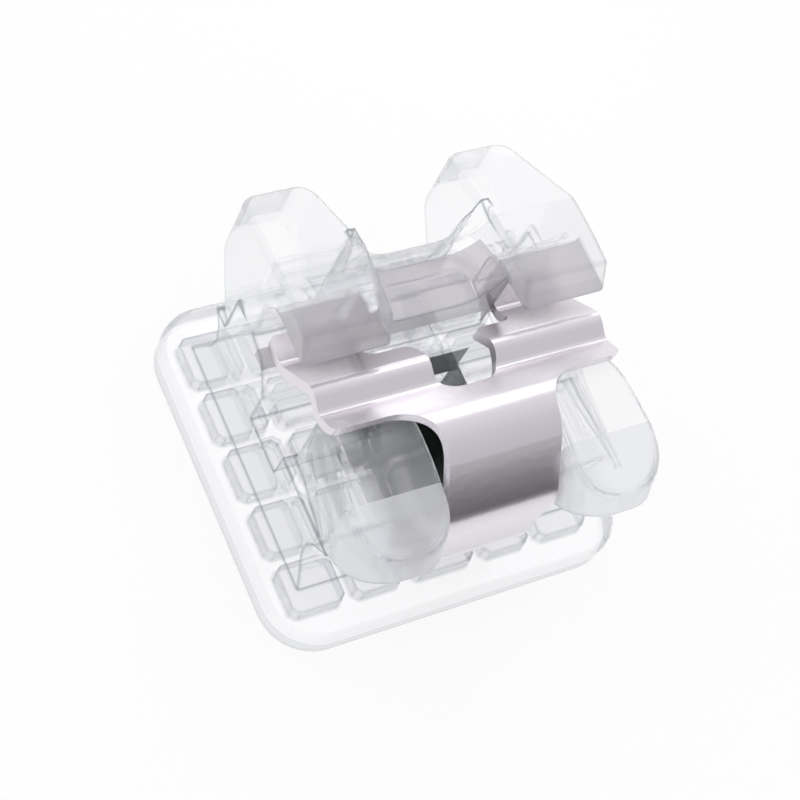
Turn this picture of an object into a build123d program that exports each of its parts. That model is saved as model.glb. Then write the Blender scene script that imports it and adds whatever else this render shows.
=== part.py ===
from build123d import *
import os

# A self-ligating orthodontic bracket: a clear ceramic body and the one-piece
# spring clip that closes its archwire slot.
# The origin is the middle of the bonding face. X runs along the archwire,
# Y across it towards the large upper wings, Z away from the tooth.

# Bonding pad
pad_width = 3.82
pad_height = 3.58
pad_thick = 0.32
pad_corner = 0.52
pad_front_round = 0.06
pad_back_round = 0.03

# Retention pockets in the back of the pad
pocket_depth = 0.17
pocket_corner = 0.06
pocket_rib = 0.12
pocket_middle_width = 0.66
pocket_inner_width = 0.51
pocket_side_margin = 0.28
pocket_end_margin = 0.30
pocket_rows = 5
pocket_field_shift = 0.06

# Archwire slot
slot_height = 0.56
slot_depth = 0.72
slot_floor = 0.90
slot_middle = -0.01
slot_edge_round = 0.04
slot_lead_in = 0.22
slot_lead_in_drop = 0.28

# Body below the wings
body_width = 3.14
crease_rise = 0.30
upper_root = 1.38
lower_root = -1.25
cove_radius = 0.35
ledge_rise = 0.06
ledge_length = 0.46

# Upper wings
wing_rise = 1.01
wing_crown = 0.015
wing_crown_radius = 3.0
beak_reach = -0.01
beak_corner = 0.17
beak_depth = 0.32
facet_edge = 0.885
wing_tip = 1.81
wing_tip_drop = 0.38
wing_tip_thick = 0.61
wing_tip_under_round = 0.10
upper_neck = 1.05
upper_neck_rise = 0.08
recess_round = 0.22
wing_tip_inner = 0.71
wing_tip_outer = 1.41
wing_tip_corner = 0.18
wing_side_bend = 0.50
wing_inner = 0.645
beak_inner = 0.70
wing_edge_round = 0.05

# Web between the upper wings, and the rounded valley over it
web_crest = 0.96
web_crest_drop = 0.34
web_lip = 0.38
web_lip_drop = 0.63
web_foot = 1.10
web_half_width = 0.74
valley_round = 0.42
crest_round = 0.08

# Lower wings
jaw_rise = 0.26
jaw_round = 0.10
jaw_ramp_end = -0.58
jaw_ramp_rise = 0.25
ramp_round = 0.50
low_wing_crest = -1.14
low_wing_crest_rise = 0.20
low_wing_crest_radius = 3.0
low_wing_tip = -1.775
low_wing_tip_rise = 0.05
low_wing_tip_thick = 0.27
low_wing_reach = -1.865
low_wing_stock = 0.20
low_neck = -0.96
low_neck_rise = 0.03
low_wing_inner = 0.64
low_wing_outer = 1.60
low_wing_waist = 1.46
low_wing_shoulder = -1.25
low_wing_corner = 0.40
low_wing_bend = 0.50
low_wing_edge_round = 0.08
low_wing_under_round = 0.05

# Spring clip
clip_thick = 0.10
clip_half_width = 1.505
clip_gap = 0.04
clip_top = 0.62
clip_bottom = -0.575
clip_ridge = -0.14
clip_ridge_rise = 0.285
clip_valley = -0.345
clip_valley_rise = 0.17
clip_heel = 0.30
neck_peak = -0.92
neck_peak_rise = 0.515
neck_half_width = 0.585
neck_fillet = 0.38
neck_drop = -1.49
neck_drop_fall = 0.285
leg_half_width = 0.55
leg_end = 0.19
leg_lift = 0.05
leg_split_fall = 0.48
notch_half_width = 0.33
notch_bottom = -0.45
notch_corner = 0.22
shoulder_top = 0.13
shoulder_half_width = 0.76
shoulder_corner = 0.10
clip_corner = 0.08
heel_bend = 0.15
ridge_bend = 0.08
valley_bend = 0.12
neck_bend = 0.35
drop_bend = 0.45
leg_bend = 0.50

# Leg channel behind the slot
channel_half_width = 0.64
channel_roof = 0.78

pocket_outer_width = (
    pad_width - pocket_middle_width) / 2 - pocket_side_margin - pocket_inner_width - 2 * pocket_rib
pocket_column_widths = (
    pocket_outer_width, pocket_inner_width, pocket_middle_width, pocket_inner_width, pocket_outer_width)
pocket_height = (pad_height - 2 * pocket_end_margin - (pocket_rows - 1) * pocket_rib) / pocket_rows
pocket_row_heights = (pocket_height,) * pocket_rows
slot_top = slot_middle + slot_height / 2
slot_bottom = slot_middle - slot_height / 2
ledge_height = slot_floor + slot_depth
body_crease = slot_floor + crease_rise
wing_front = ledge_height + wing_rise
recess_roof = wing_front - beak_depth
wing_tip_front = wing_front - wing_tip_drop
wing_tip_back = wing_tip_front - wing_tip_thick
upper_neck_height = slot_floor + upper_neck_rise
web_crest_height = wing_front - web_crest_drop
web_lip_height = wing_front - web_lip_drop
jaw_height = ledge_height + jaw_rise
jaw_ramp_height = jaw_height + jaw_ramp_rise
low_wing_crest_height = jaw_height + low_wing_crest_rise
low_wing_tip_front = jaw_height + low_wing_tip_rise
low_wing_tip_back = low_wing_tip_front - low_wing_tip_thick
low_neck_height = slot_floor + low_neck_rise
low_stock_end = low_wing_reach - low_wing_stock
ledge_back = slot_top + ledge_length
ledge_back_height = ledge_height + ledge_rise
flange_height = ledge_back_height + clip_gap + clip_thick / 2
half_body = body_width / 2
below_pad_face = pad_thick - pad_front_round / 2
leg_height = pad_thick + leg_lift + clip_thick / 2
leg_split = jaw_height - leg_split_fall
clear_above = 2 * wing_front
valley_start_height = web_lip_height - (web_lip - beak_reach) * (
    web_crest_height - web_lip_height) / (web_crest - web_lip)
# Where the undersides of the wings cross the crease of the body
upper_crease = upper_neck + (wing_tip - upper_neck) * (body_crease - upper_neck_height) / (
    wing_tip_back - upper_neck_height)
lower_crease = low_neck + (low_wing_reach - low_neck) * (body_crease - low_neck_height) / (
    low_wing_tip_back - low_neck_height)


def height_on_line(y, start, end):
    """Height at y of the line through two points of the side profile."""
    return start[1] + (end[1] - start[1]) * (y - start[0]) / (end[0] - start[0])


def pocket_centres(widths, middle):
    """Centres of a row of pockets, left to right, parted by equal ribs."""
    total = sum(widths) + pocket_rib * (len(widths) - 1)
    start = middle - total / 2
    centres = []
    for width in widths:
        centres.append(start + width / 2)
        start += width + pocket_rib
    return centres


# Pad with its pockets
with BuildPart() as pad:
    with BuildSketch(Plane.XY):
        RectangleRounded(pad_width, pad_height, pad_corner)
    extrude(amount=pad_thick)
    fillet(pad.faces().sort_by(Axis.Z)[-1].edges(), pad_front_round)
    fillet(pad.faces().sort_by(Axis.Z)[0].edges(), pad_back_round)
    with BuildSketch(Plane.XY) as pockets:
        for x, width in zip(pocket_centres(pocket_column_widths, 0), pocket_column_widths):
            for y, height in zip(pocket_centres(pocket_row_heights, pocket_field_shift),
                                 pocket_row_heights):
                with Locations((x, y)):
                    Rectangle(width, height)
        chamfer(pockets.vertices(), pocket_corner)
    extrude(amount=pocket_depth, mode=Mode.SUBTRACT)

# Core: root of the body with its coves, the slot and the ledge that the clip lies on
with BuildPart() as core:
    with BuildSketch(Plane.YZ):
        with BuildLine():
            Polyline(
                (slot_bottom, body_crease),
                (slot_bottom, slot_floor),
                (slot_top, slot_floor),
            )
            FilletPolyline(
                (slot_top, slot_floor),
                (slot_top, ledge_height - slot_lead_in_drop),
                (slot_top + slot_lead_in, ledge_height),
                (ledge_back, ledge_back_height),
                (web_foot, ledge_back_height),
                radius=(slot_edge_round, slot_lead_in, slot_lead_in),
            )
            Polyline(
                (web_foot, ledge_back_height),
                (web_foot, body_crease),
                (upper_crease, body_crease),
            )
            FilletPolyline(
                (upper_crease, body_crease),
                (upper_neck, upper_neck_height),
                (upper_root, pad_thick),
                radius=cove_radius,
            )
            Polyline(
                (upper_root, pad_thick),
                (upper_root, below_pad_face),
                (lower_root, below_pad_face),
                (lower_root, pad_thick),
            )
            FilletPolyline(
                (lower_root, pad_thick),
                (low_neck, low_neck_height),
                (lower_crease, body_crease),
                radius=cove_radius,
            )
            Line((lower_crease, body_crease), (slot_bottom, body_crease))
        make_face()
    extrude(amount=half_body, both=True)

# Upper wings: side profile, trimmed to the outline seen from the front
with BuildPart() as upper_wings:
    with BuildSketch(Plane.YZ):
        with BuildLine():
            FilletPolyline(
                (ledge_back, body_crease),
                (ledge_back, recess_roof),
                (beak_reach, recess_roof),
                (beak_corner, wing_front),
                ((beak_corner + facet_edge) / 2, wing_front + wing_crown),
                (facet_edge, wing_front),
                (wing_tip, wing_tip_front),
                (wing_tip, wing_tip_back),
                (upper_crease, body_crease),
                radius=(recess_round, wing_edge_round, wing_edge_round, wing_crown_radius,
                        wing_edge_round, wing_edge_round, wing_tip_under_round),
            )
            Line((upper_crease, body_crease), (ledge_back, body_crease))
        make_face()
    extrude(amount=half_body)
    with BuildSketch(Plane.XY):
        with BuildLine():
            FilletPolyline(
                (half_body, beak_reach),
                (half_body, facet_edge),
                (wing_tip_outer, wing_tip),
                (wing_tip_inner, wing_tip),
                (wing_inner, facet_edge),
                (beak_inner, beak_reach),
                radius=(wing_side_bend, wing_tip_corner, wing_tip_corner, wing_side_bend),
            )
            Line((beak_inner, beak_reach), (half_body, beak_reach))
        make_face()
    extrude(amount=clear_above, mode=Mode.INTERSECT)
    fillet(
        upper_wings.edges().filter_by(Axis.X, reverse=True).filter_by(
            lambda edge: edge.center().Z > body_crease + wing_edge_round),
        wing_edge_round,
    )
    mirror(about=Plane.YZ)

# Space over the valley between the upper wings, rounded along its floor
with BuildPart() as valley:
    with BuildSketch(Plane.YZ):
        with BuildLine():
            FilletPolyline(
                (beak_reach, valley_start_height),
                (web_crest, web_crest_height),
                (web_foot, body_crease),
                (clear_above, body_crease),
                (clear_above, clear_above),
                (beak_reach, clear_above),
                close=True,
                radius=(0, crest_round, 0, 0, 0, 0),
            )
        make_face()
    extrude(amount=half_body, both=True)
    with BuildSketch(Plane.XY):
        with BuildLine():
            FilletPolyline(
                (-beak_inner, beak_reach),
                (beak_inner, beak_reach),
                (wing_inner, facet_edge),
                (wing_tip_inner, wing_tip),
                (-wing_tip_inner, wing_tip),
                (-wing_inner, facet_edge),
                close=True,
                radius=(0, 0, wing_side_bend, 0, 0, wing_side_bend),
            )
        make_face()
    extrude(amount=clear_above, mode=Mode.INTERSECT)
    fillet(
        valley.edges().filter_by(
            lambda edge: abs(edge.center().X) > wing_inner / 2 and edge.center().Y < web_crest
            and edge.center().Z < web_crest_height),
        valley_round,
    )

# Web that joins the upper wings behind the clip
with BuildPart() as web:
    with BuildSketch(Plane.YZ):
        with BuildLine():
            Polyline(
                (web_lip, slot_floor),
                (web_lip, wing_front - wing_edge_round),
                (web_foot, wing_front - wing_edge_round),
                (web_foot, slot_floor),
                close=True,
            )
        make_face()
    extrude(amount=web_half_width, both=True)
    add(valley.part, mode=Mode.SUBTRACT)

# Lower wings: side profile, trimmed to a tongue outline that leans with their tips
low_tip_plane = Plane(
    origin=(0, low_wing_tip, low_wing_tip_front),
    x_dir=(1, 0, 0),
    z_dir=(0, low_wing_tip - low_wing_reach, low_wing_tip_front - low_wing_tip_back),
)


def across_tip(y):
    """Distance of y from the tip, in the plane across the leaning tip."""
    return low_tip_plane.to_local_coords(Vector(0, y, low_wing_tip_front)).Y


with BuildPart() as lower_wings:
    with BuildSketch(Plane.YZ):
        with BuildLine():
            FilletPolyline(
                (slot_bottom, body_crease),
                (slot_bottom, jaw_height),
                (jaw_ramp_end, jaw_ramp_height),
                (low_wing_crest, low_wing_crest_height),
                (low_stock_end, height_on_line(
                    low_stock_end, (low_wing_crest, low_wing_crest_height),
                    (low_wing_tip, low_wing_tip_front))),
                (low_stock_end, height_on_line(
                    low_stock_end, (low_neck, low_neck_height),
                    (low_wing_reach, low_wing_tip_back))),
                (lower_crease, body_crease),
                close=True,
                radius=(0, jaw_round, ramp_round, low_wing_crest_radius, 0, 0, 0),
            )
        make_face()
    extrude(amount=low_wing_outer + low_wing_stock)
    with BuildSketch(low_tip_plane):
        with BuildLine():
            FilletPolyline(
                (low_wing_inner, across_tip(slot_top)),
                (low_wing_inner, across_tip(low_wing_tip)),
                (low_wing_outer, across_tip(low_wing_tip)),
                (low_wing_outer, across_tip(low_wing_shoulder)),
                (low_wing_waist, across_tip(slot_bottom)),
                (low_wing_waist, across_tip(slot_top)),
                close=True,
                radius=(0, low_wing_corner, low_wing_corner, low_wing_bend, low_wing_bend, 0),
            )
        make_face()
    extrude(amount=wing_front, both=True, mode=Mode.INTERSECT)
    # The front edges with the jaw's, then those under the tip
    fillet(
        lower_wings.edges().filter_by(Axis.X, reverse=True).filter_by(
            lambda edge: edge.center().Z > jaw_height),
        low_wing_edge_round,
    )
    fillet(
        lower_wings.edges().filter_by(
            lambda edge: body_crease < edge.center().Z < low_wing_tip_front - low_wing_tip_thick / 2
            and edge.center().Y < low_wing_shoulder),
        low_wing_under_round,
    )
    mirror(about=Plane.YZ)

with BuildPart() as bracket_body:
    add(pad.part)
    add(core.part)
    add(upper_wings.part)
    add(web.part)
    add(lower_wings.part)
    # Gap between the lower wings, where the clip bends round
    with BuildSketch(Plane.XY.offset(pad_thick)):
        with Locations((0, slot_bottom + low_wing_reach)):
            Rectangle(2 * low_wing_inner, -2 * low_wing_reach)
    extrude(amount=wing_front, mode=Mode.SUBTRACT)
    # Window in the floor of the slot, over the clip's leg
    with BuildSketch(Plane.XY.offset(pad_thick)):
        with Locations((0, slot_middle)):
            Rectangle(2 * channel_half_width, slot_height)
    extrude(amount=slot_floor - pad_thick, mode=Mode.SUBTRACT)
    # Channel of the clip's leg, right through behind the slot
    with BuildSketch(Plane.XZ.offset(-wing_tip)):
        with Locations((0, (pad_thick + channel_roof) / 2)):
            Rectangle(2 * channel_half_width, channel_roof - pad_thick)
    extrude(amount=wing_tip - slot_bottom, mode=Mode.SUBTRACT)

# Outline of the clip seen from the front: a T with a notch, and its narrower leg
with BuildPart() as clip_outline:
    with BuildSketch(Plane.XY.offset(leg_split)):
        with BuildLine():
            FilletPolyline(
                (0, notch_bottom),
                (notch_half_width, notch_bottom),
                (notch_half_width, shoulder_top),
                (shoulder_half_width, shoulder_top),
                (shoulder_half_width, clip_top),
                (clip_half_width, clip_top),
                (clip_half_width, clip_bottom),
                (neck_half_width, clip_bottom),
                (neck_half_width, neck_drop - clip_thick),
                (0, neck_drop - clip_thick),
                close=True,
                radius=(0, notch_corner, shoulder_corner, shoulder_corner, clip_corner,
                        clip_corner, clip_corner, neck_fillet, 0, 0),
            )
        make_face()
        mirror(about=Plane.YZ)
    extrude(amount=wing_front)
    with BuildSketch(Plane.XY):
        with Locations((0, (leg_end + neck_drop - clip_thick) / 2)):
            RectangleRounded(2 * leg_half_width, leg_end - neck_drop + clip_thick, clip_corner)
    extrude(amount=leg_split)

# Spring clip: one bent sheet, trimmed to that outline
with BuildPart() as spring_clip:
    with BuildSketch(Plane.YZ):
        with BuildLine():
            FilletPolyline(
                (clip_top, flange_height),
                (clip_heel, flange_height),
                (clip_ridge, jaw_height + clip_ridge_rise),
                (clip_valley, jaw_height + clip_valley_rise),
                (neck_peak, jaw_height + neck_peak_rise),
                (neck_drop, jaw_height - neck_drop_fall),
                (neck_drop, leg_height),
                (leg_end, leg_height),
                radius=(heel_bend, ridge_bend, valley_bend, neck_bend, drop_bend, leg_bend),
            )
        trace(line_width=clip_thick)
    extrude(amount=clip_half_width, both=True)
    add(clip_outline.part, mode=Mode.INTERSECT)

bracket_body.part.label = "bracket_body"
spring_clip.part.label = "spring_clip"

os.makedirs("parts", exist_ok=True)
export_step(bracket_body.part, "parts/bracket_body.step")
export_step(spring_clip.part, "parts/spring_clip.step")
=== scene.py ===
import bpy
import math
from mathutils import Matrix, Vector

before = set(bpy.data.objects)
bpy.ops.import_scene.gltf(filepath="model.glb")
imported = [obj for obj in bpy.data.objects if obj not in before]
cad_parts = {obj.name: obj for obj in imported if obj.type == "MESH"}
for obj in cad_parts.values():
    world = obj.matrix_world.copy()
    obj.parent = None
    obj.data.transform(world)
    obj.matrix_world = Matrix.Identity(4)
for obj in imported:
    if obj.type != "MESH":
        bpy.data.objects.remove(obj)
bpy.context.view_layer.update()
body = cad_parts["bracket_body"]
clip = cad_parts["spring_clip"]
mm = 0.001


def linearColour(hexColour):
    channels = [int(hexColour[i:i + 2], 16) / 255 for i in (1, 3, 5)]
    return tuple(c / 12.92 if c <= 0.04045 else ((c + 0.055) / 1.055) ** 2.4 for c in channels) + (1.0,)


def socketOf(name):
    # "_0" is the first input, "Base_Color" the one called Base Color
    return int(name[1:]) if name[1:].isdigit() else name.replace("_", " ")


def addNode(tree, kind, settings=None, **links):
    # settings are inputs or properties; each link is an output of another node
    node = tree.nodes.new(kind)
    for name, value in (settings or {}).items():
        if name[0] == "_" or name in node.inputs:
            node.inputs[socketOf(name)].default_value = value
        else:
            setattr(node, name, value)
    for name, source in links.items():
        tree.links.new(source, node.inputs[socketOf(name)])
    return node


def newMaterial(name):
    material = bpy.data.materials.new(name)
    material.use_nodes = True
    material.node_tree.nodes.clear()
    return material, material.node_tree


def setStops(ramp, stops):
    # stops are (place, hex colour), from low to high
    elements = ramp.color_ramp.elements
    while len(elements) < len(stops):
        elements.new(1.0)
    for element, (place, colour) in zip(elements, stops):
        element.position = place
        element.color = linearColour(colour)


def addObject(name, data):
    thing = bpy.data.objects.new(name, data)
    bpy.context.scene.collection.objects.link(thing)
    return thing


def addCard(name, corners, material):
    mesh = bpy.data.meshes.new(name)
    mesh.from_pydata(corners, [], [(0, 1, 2, 3)])
    mesh.materials.append(material)
    card = addObject(name, mesh)
    return card


# Camera, at the photograph's angle: the pad's lower left corner is nearest
cameraSetup = {
    "eye": (-8.808 * mm, -6.299 * mm, 17.218 * mm),
    "right": (0.8640, -0.3995, 0.3064),
    "up": (0.2334, 0.8571, 0.4593),
    "back": (-0.4461, -0.3253, 0.8338),
    "lens": 93.06,
    "sensor": 36,
    "nearest": 0.5 * mm,
    "farthest": 2000 * mm,
}
cameraData = bpy.data.cameras.new("camera")
camera = addObject("camera", cameraData)
bpy.context.scene.camera = camera
cameraData.lens = cameraSetup["lens"]
cameraData.sensor_width = cameraSetup["sensor"]
cameraData.clip_start = cameraSetup["nearest"]
cameraData.clip_end = cameraSetup["farthest"]
turn = Matrix([cameraSetup["right"], cameraSetup["up"], cameraSetup["back"]]).transposed()
camera.matrix_world = Matrix.Translation(cameraSetup["eye"]) @ turn.to_4x4()
print("camera set")


# White room. Only gloss sees its tones, from light grey at -Y to white at +Y
room = {
    "walls": ((0.0, "#D2D2D4"), (0.30, "#E2E2E4"), (0.62, "#F4F4F6"), (0.85, "#FFFFFF")),
    "light": 1.0,
}
world = bpy.data.worlds.new("whiteStudio")
bpy.context.scene.world = world
world.use_nodes = True
tree = world.node_tree
tree.nodes.clear()
direction = addNode(tree, "ShaderNodeTexCoord")
alongRoom = addNode(tree, "ShaderNodeSeparateXYZ", None, _0=direction.outputs["Generated"])
depth = addNode(tree, "ShaderNodeMapRange", {"From Min": -1.0}, Value=alongRoom.outputs["Y"])
walls = addNode(tree, "ShaderNodeValToRGB", None, Fac=depth.outputs[0])
setStops(walls, room["walls"])
path = addNode(tree, "ShaderNodeLightPath")
# Inputs 6 and 7 of a Mix node are its two colours
toned = addNode(tree, "ShaderNodeMix", {"data_type": "RGBA", "_6": (1, 1, 1, 1)},
                _0=path.outputs["Is Glossy Ray"], _7=walls.outputs["Color"])
light = addNode(tree, "ShaderNodeBackground", {"Strength": room["light"]}, Color=toned.outputs[2])
addNode(tree, "ShaderNodeOutputWorld", Surface=light.outputs[0])


# Floor of white card, just below the pad. Its paint keeps the object's soft shadow
floorCard = {
    "half": 200 * mm,
    "drop": 0.01 * mm,
    "paint": "#F4F4F5",
    "whiteShare": 0.80,
}
paintedCard, tree = newMaterial("paleFloor")
paint = addNode(tree, "ShaderNodeBsdfDiffuse", {"Color": linearColour(floorCard["paint"])})
white = addNode(tree, "ShaderNodeEmission", {"Color": (1, 1, 1, 1), "Strength": 1.0})
path = addNode(tree, "ShaderNodeLightPath")
behind = addNode(tree, "ShaderNodeMath", {"operation": "MAXIMUM"},
                 _0=path.outputs["Is Transmission Ray"], _1=path.outputs["Is Glossy Ray"])
share = addNode(tree, "ShaderNodeMath", {"operation": "MAXIMUM", "_1": floorCard["whiteShare"]},
                _0=behind.outputs[0])
shown = addNode(tree, "ShaderNodeMixShader", None, _0=share.outputs[0],
                _1=paint.outputs[0], _2=white.outputs[0])
addNode(tree, "ShaderNodeOutputMaterial", Surface=shown.outputs[0])
half = floorCard["half"]
outline = ((-half, -half), (half, -half), (half, half), (-half, half))
addCard("floor", [(x, y, -floorCard["drop"]) for x, y in outline], paintedCard)
print("room and floor set")


# Softboxes that draw the white lines along the folds of the clip. Glow is how bright each looks
softboxes = {
    "softboxAbove": {"place": (4.0 * mm, 5.6 * mm, 7.5 * mm), "size": 3.6 * mm, "glow": 1.5},
    "softboxBehind": {"place": (4.4 * mm, 8.4 * mm, 2.8 * mm), "size": 3.0 * mm, "glow": 0.75},
    "softboxLeft": {"place": (-9.0 * mm, 3.0 * mm, 6.0 * mm), "size": 4.0 * mm, "glow": 1.4},
}
middleOfBracket = Vector((0, 0, 1.5 * mm))
for name, box in softboxes.items():
    lampData = bpy.data.lights.new(name, "AREA")
    lampData.shape = "SQUARE"
    lampData.size = box["size"]
    lampData.energy = box["glow"] * math.pi * box["size"] ** 2
    lamp = addObject(name, lampData)
    lamp.location = box["place"]
    lamp.rotation_euler = (middleOfBracket - lamp.location).to_track_quat("-Z", "Y").to_euler()

# Card of black flock below the lower wings, which only gloss sees: the dark band on the clip's neck
flag = {
    "y": -3.6 * mm,
    "x": (-3.0 * mm, 6.0 * mm),
    "z": (0.9 * mm, 2.0 * mm),
    "colour": "#4C484B",
}
darkCard, tree = newMaterial("blackFlock")
flock = addNode(tree, "ShaderNodeBsdfDiffuse", {"Color": linearColour(flag["colour"])})
addNode(tree, "ShaderNodeOutputMaterial", Surface=flock.outputs[0])
left, right = flag["x"]
low, high = flag["z"]
outline = ((left, low), (right, low), (right, high), (left, high))
card = addCard("flag", [(x, flag["y"], z) for x, z in outline], darkCard)
card.visible_camera = False
card.visible_diffuse = False
card.visible_transmission = False
card.visible_shadow = False
print("lamps and flag set")


# Alumina, injection moulded, fired clear and tumbled. To the eye: water clear, with grey where
# a surface turns away, fine grey lines of painted shade along the corners and a faint, clouded milk.
# Real alumina bends light more. In the photograph what lies behind it stays in place, hence ior
ceramicLook = {
    "glass": "#FCFCFD",
    "bentShare": 0.45,
    "ior": 1.09,
    "milk": "#F6F7F9",
    "milkShare": 0.03,
    "cloudSize": 0.6 * mm,
    "cloudShare": 0.03,
    "edge": "#A2A7AC",
    "edgeShare": 0.5,
    "edgeFall": 3.0,
    "edgeRoughness": 0.35,
    "paintedCornerShade": "#7C8288",
    "cornerShadeShareInside": 0.4,
    "cornerShadeShareOutside": 0.75,
    "cornerWidth": 0.05 * mm,
    "cornerLean": {"From Min": 0.994, "From Max": 0.945},
    "polishIor": 1.35,
    "polishRoughness": 0.04,
    # Boxes in mm of painted shade and of the clip's grey as painted reflection; the pockets are also
    # milkier.
    # fromMiddle is X without its sign
    "milkAndShadeZones": {
        # pockets: a milkier frosted back, made grey with painted shade
        "pockets": {"Z": (0.01, 0.19), "colour": "#BDBFC6", "share": 0.30},
        # recess and valley: painted reflection of the clip and painted shade
        "recess": {"fromMiddle": (0.69, 1.60), "Y": (-0.01, 0.60), "Z": (1.55, 2.36),
                   "colour": "#8E868D", "share": 0.55},
        "valley": {"fromMiddle": (0.0, 0.69), "Y": (0.30, 0.80), "Z": (1.75, 2.40),
                   "colour": "#A29AA2", "share": 0.50, "outerOnly": True},
        # beaks: painted grey shade on the facets
        "beaks": {"Y": (-0.05, 0.885), "Z": (2.36, 2.70),
                  "colour": "#B4B5BB", "share": 0.15, "outerOnly": True},
        # slotDepth: painted shadow, nearly black, in the enclosed slot
        "slotDepth": {"fromMiddle": (0.0, 0.66), "Y": (-0.31, 0.30), "Z": (0.30, 1.24),
                      "colour": "#1C261F", "share": 0.88, "outerOnly": True},
        # lowerTips: painted light grey shade on the facets
        "lowerTips": {"Y": (-1.90, -1.22), "Z": (1.40, 2.60),
                      "colour": "#DCDDE2", "share": 0.50, "outerOnly": True},
    },
}
ceramic, tree = newMaterial("polishedAlumina")
surfaceFacts = addNode(tree, "ShaderNodeNewGeometry")
outer = addNode(tree, "ShaderNodeMath", {"operation": "SUBTRACT", "_0": 1.0},
                _1=surfaceFacts.outputs["Backfacing"])
place = addNode(tree, "ShaderNodeTexCoord")
alongAxes = addNode(tree, "ShaderNodeSeparateXYZ", None, _0=place.outputs["Object"])
fromMiddle = addNode(tree, "ShaderNodeMath", {"operation": "ABSOLUTE"}, _0=alongAxes.outputs["X"])
distances = {
    "fromMiddle": fromMiddle.outputs[0],
    "Y": alongAxes.outputs["Y"],
    "Z": alongAxes.outputs["Z"],
}

# Clear body: part of the light goes straight through, part is bent a little
straight = addNode(tree, "ShaderNodeBsdfTransparent", {"Color": linearColour(ceramicLook["glass"])})
bent = addNode(tree, "ShaderNodeBsdfGlass",
               {"Color": (1, 1, 1, 1), "IOR": ceramicLook["ior"], "Roughness": 0.0})
glass = addNode(tree, "ShaderNodeMixShader", {"_0": ceramicLook["bentShare"]},
                _1=straight.outputs[0], _2=bent.outputs[0])

# Milk, a little everywhere, in clouds
cloud = addNode(tree, "ShaderNodeTexNoise", {"Scale": 1 / ceramicLook["cloudSize"]},
                Vector=place.outputs["Object"])
milkShare = addNode(tree, "ShaderNodeMath",
                    {"operation": "MULTIPLY_ADD", "_1": ceramicLook["cloudShare"],
                     "_2": ceramicLook["milkShare"]}, _0=cloud.outputs["Fac"])
milk = addNode(tree, "ShaderNodeBsdfDiffuse", {"Color": linearColour(ceramicLook["milk"])})
seen = addNode(tree, "ShaderNodeMixShader", None, _0=milkShare.outputs[0],
               _1=glass.outputs[0], _2=milk.outputs[0])

# Painted shade, painted reflection and milk in boxes: the shares are 0 outside each box
for milkAndShadeZone in ceramicLook["milkAndShadeZones"].values():
    masks = [outer.outputs[0]] if milkAndShadeZone.get("outerOnly") else []
    for name, distance in distances.items():
        if name in milkAndShadeZone:
            low, high = milkAndShadeZone[name]
            inside = addNode(tree, "ShaderNodeMath",
                             {"operation": "COMPARE", "_1": (low + high) / 2 * mm,
                              "_2": (high - low) / 2 * mm}, _0=distance)
            masks.append(inside.outputs[0])
    share = addNode(tree, "ShaderNodeMath", {"operation": "MULTIPLY", "_0": milkAndShadeZone["share"]}, _1=masks[0])
    for mask in masks[1:]:
        share = addNode(tree, "ShaderNodeMath", {"operation": "MULTIPLY"}, _0=share.outputs[0], _1=mask)
    milkAndShadeTint = addNode(tree, "ShaderNodeBsdfDiffuse", {"Color": linearColour(milkAndShadeZone["colour"])})
    seen = addNode(tree, "ShaderNodeMixShader", None, _0=share.outputs[0],
                   _1=seen.outputs[0], _2=milkAndShadeTint.outputs[0])

# Grey sheen of surfaces seen nearly edge on
facing = addNode(tree, "ShaderNodeLayerWeight")
slant = addNode(tree, "ShaderNodeMath", {"operation": "POWER", "_1": ceramicLook["edgeFall"]},
                _0=facing.outputs["Facing"])
share = addNode(tree, "ShaderNodeMath", {"operation": "MULTIPLY", "_1": ceramicLook["edgeShare"]},
                _0=slant.outputs[0])
edge = addNode(tree, "ShaderNodeBsdfGlossy",
               {"Color": linearColour(ceramicLook["edge"]), "Roughness": ceramicLook["edgeRoughness"]})
seen = addNode(tree, "ShaderNodeMixShader", None, _0=share.outputs[0],
               _1=seen.outputs[0], _2=edge.outputs[0])

# Painted shade: a grey line along the tumbled corners, found by how far a rounded normal leans from the
# real one
rounded = addNode(tree, "ShaderNodeBevel", {"Radius": ceramicLook["cornerWidth"]})
lean = addNode(tree, "ShaderNodeVectorMath", {"operation": "DOT_PRODUCT"}, _0=rounded.outputs[0],
               _1=surfaceFacts.outputs["True Normal"])
leaning = addNode(tree, "ShaderNodeMapRange", ceramicLook["cornerLean"], Value=lean.outputs["Value"])
shareBySide = addNode(tree, "ShaderNodeMapRange",
                      {"To Min": ceramicLook["cornerShadeShareInside"],
                       "To Max": ceramicLook["cornerShadeShareOutside"]}, Value=outer.outputs[0])
share = addNode(tree, "ShaderNodeMath", {"operation": "MULTIPLY"}, _0=leaning.outputs[0],
                _1=shareBySide.outputs[0])
paintedCornerShade = addNode(tree, "ShaderNodeBsdfDiffuse", {"Color": linearColour(ceramicLook["paintedCornerShade"])})
seen = addNode(tree, "ShaderNodeMixShader", None, _0=share.outputs[0],
               _1=seen.outputs[0], _2=paintedCornerShade.outputs[0])

# Polish, on the outside only
mirrored = addNode(tree, "ShaderNodeFresnel", {"IOR": ceramicLook["polishIor"]})
share = addNode(tree, "ShaderNodeMath", {"operation": "MULTIPLY"}, _0=mirrored.outputs[0],
                _1=outer.outputs[0])
polish = addNode(tree, "ShaderNodeBsdfGlossy",
                 {"Color": (1, 1, 1, 1), "Roughness": ceramicLook["polishRoughness"]})
seen = addNode(tree, "ShaderNodeMixShader", None, _0=share.outputs[0],
               _1=seen.outputs[0], _2=polish.outputs[0])

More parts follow.
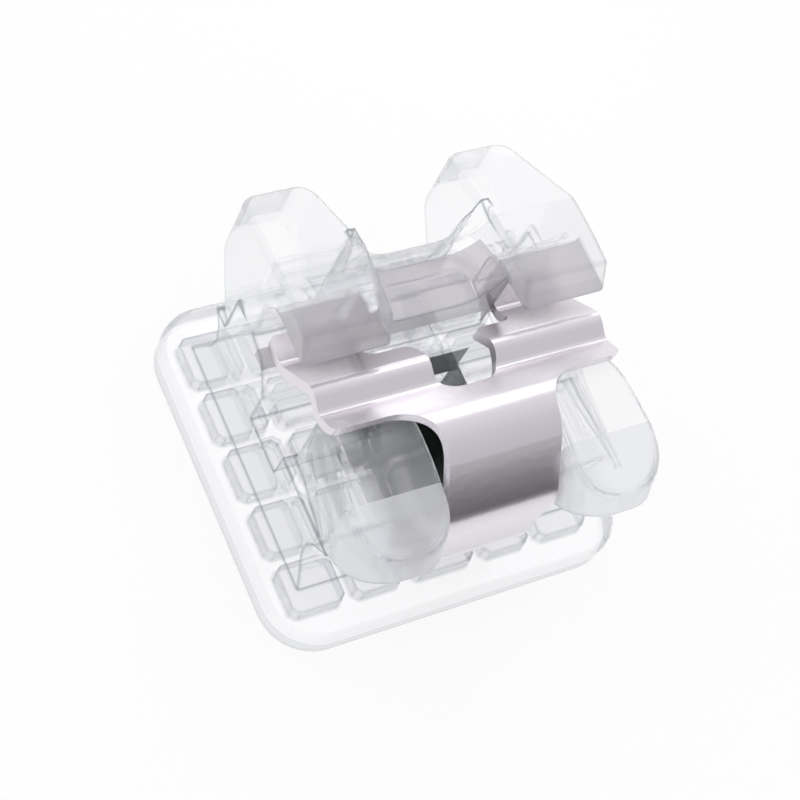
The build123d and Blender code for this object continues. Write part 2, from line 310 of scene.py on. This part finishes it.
# Lamps shine through it to the floor
path = addNode(tree, "ShaderNodeLightPath")
lit = addNode(tree, "ShaderNodeBsdfTransparent", {"Color": linearColour(ceramicLook["glass"])})
seen = addNode(tree, "ShaderNodeMixShader", None, _0=path.outputs["Is Shadow Ray"],
               _1=seen.outputs[0], _2=lit.outputs[0])
addNode(tree, "ShaderNodeOutputMaterial", Surface=seen.outputs[0])
body.data.materials.clear()
body.data.materials.append(ceramic)
print("ceramic done")


# Nickel-titanium sheet, rolled, bent and tumbled. To the eye: satin, a warm light grey, and
# nearly black where the bracket shuts it in. Its tone follows how much open room it sees,
# with more light on the bend and on the front
clipLook = {
    "tones": ((0.0, "#141C17"), (0.25, "#232B26"), (0.45, "#948E94"), (0.75, "#CFC9CF"), (1.0, "#E0DBE1")),
    "roomReach": 2.2 * mm,
    "bendLight": {"From Min": -0.3 * mm, "From Max": -1.3 * mm, "To Max": 0.45},
    "frontLight": {"From Min": 1.0 * mm, "From Max": 1.5 * mm, "To Max": 0.38},
    "roughness": 0.26,
    "grainSize": 0.09 * mm,
    "grainDetail": 3.0,
    "grainDepth": 0.004 * mm,
    "grainStrength": 0.25,
}
nitinol, tree = newMaterial("satinNitinol")
place = addNode(tree, "ShaderNodeTexCoord")
alongAxes = addNode(tree, "ShaderNodeSeparateXYZ", None, _0=place.outputs["Object"])
openRoom = addNode(tree, "ShaderNodeAmbientOcclusion", {"Distance": clipLook["roomReach"]})
bendLight = addNode(tree, "ShaderNodeMapRange", clipLook["bendLight"], Value=alongAxes.outputs["Y"])
frontLight = addNode(tree, "ShaderNodeMapRange", clipLook["frontLight"], Value=alongAxes.outputs["Z"])
moreLight = addNode(tree, "ShaderNodeMath", {"operation": "MAXIMUM"}, _0=bendLight.outputs[0],
                    _1=frontLight.outputs[0])
brightness = addNode(tree, "ShaderNodeMath", {"operation": "ADD"}, _0=openRoom.outputs["AO"],
                     _1=moreLight.outputs[0])
tone = addNode(tree, "ShaderNodeValToRGB", None, Fac=brightness.outputs[0])
setStops(tone, clipLook["tones"])
grain = addNode(tree, "ShaderNodeTexNoise",
                {"Scale": 1 / clipLook["grainSize"], "Detail": clipLook["grainDetail"]},
                Vector=place.outputs["Object"])
satin = addNode(tree, "ShaderNodeBump",
                {"Strength": clipLook["grainStrength"], "Distance": clipLook["grainDepth"]},
                Height=grain.outputs["Fac"])
metal = addNode(tree, "ShaderNodeBsdfPrincipled", {"Metallic": 1.0, "Roughness": clipLook["roughness"]},
                Base_Color=tone.outputs["Color"], Normal=satin.outputs[0])
addNode(tree, "ShaderNodeOutputMaterial", Surface=metal.outputs[0])
clip.data.materials.clear()
clip.data.materials.append(nitinol)
print("clip done")

bpy.context.scene.view_settings.view_transform = "Standard"
